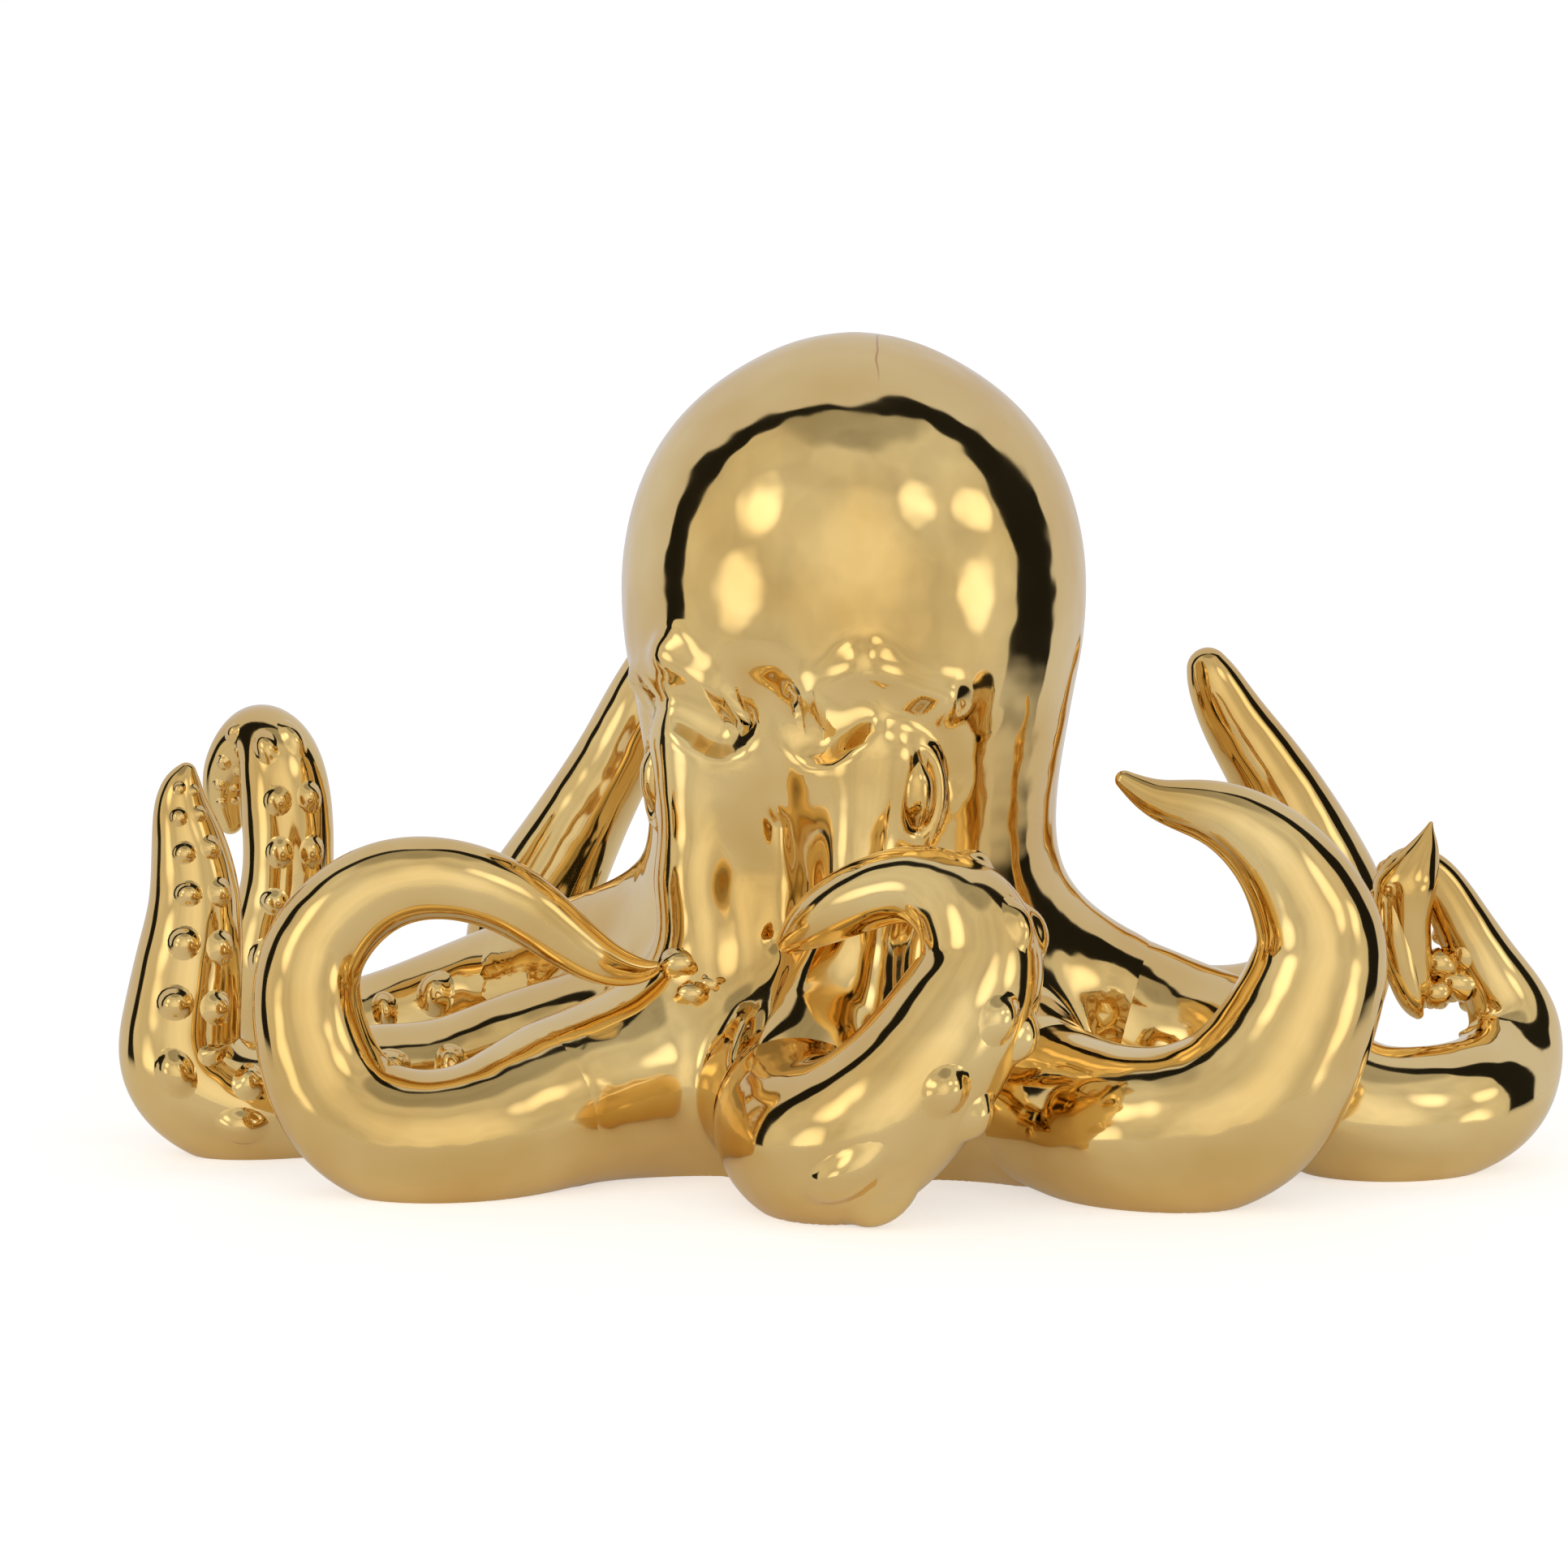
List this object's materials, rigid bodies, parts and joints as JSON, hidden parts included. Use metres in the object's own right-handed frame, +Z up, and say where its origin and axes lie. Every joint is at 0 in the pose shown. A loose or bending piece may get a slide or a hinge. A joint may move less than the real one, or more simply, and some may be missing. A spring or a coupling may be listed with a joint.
{
  "type": "octopus figurine",
  "caption": "Gold-plated ceramic octopus figurine: a tall bulbous head with ridged brows over curling, sucker-lined arms that spread low and wide, flat underneath to stand on a shelf.",
  "frame": {"origin": "on the floor under the middle of the figurine's box", "axes": "X to the right of the front view, Y to the back, Z up"},
  "size_m": [0.2972, 0.201, 0.1689],
  "materials": {
    "gold_glaze": "electroplated gold mirror over glazed ceramic"
  },
  "bodies": {
    "root": {"body_casting": "gold_glaze", "arm_front_left": "gold_glaze", "arm_front": "gold_glaze", "arm_front_right": "gold_glaze", "arm_right": "gold_glaze", "arm_back_right": "gold_glaze", "arm_back_left": "gold_glaze", "arm_left_back": "gold_glaze", "arm_left": "gold_glaze", "suckers_front_left": "gold_glaze", "suckers_front": "gold_glaze", "suckers_front_right": "gold_glaze", "suckers_right": "gold_glaze", "suckers_back_right": "gold_glaze", "suckers_back_left": "gold_glaze", "suckers_left_back": "gold_glaze", "suckers_left": "gold_glaze", "eye_left": "gold_glaze", "eye_right": "gold_glaze", "tip_dab": "gold_glaze"}
  },
  "joints": []
}
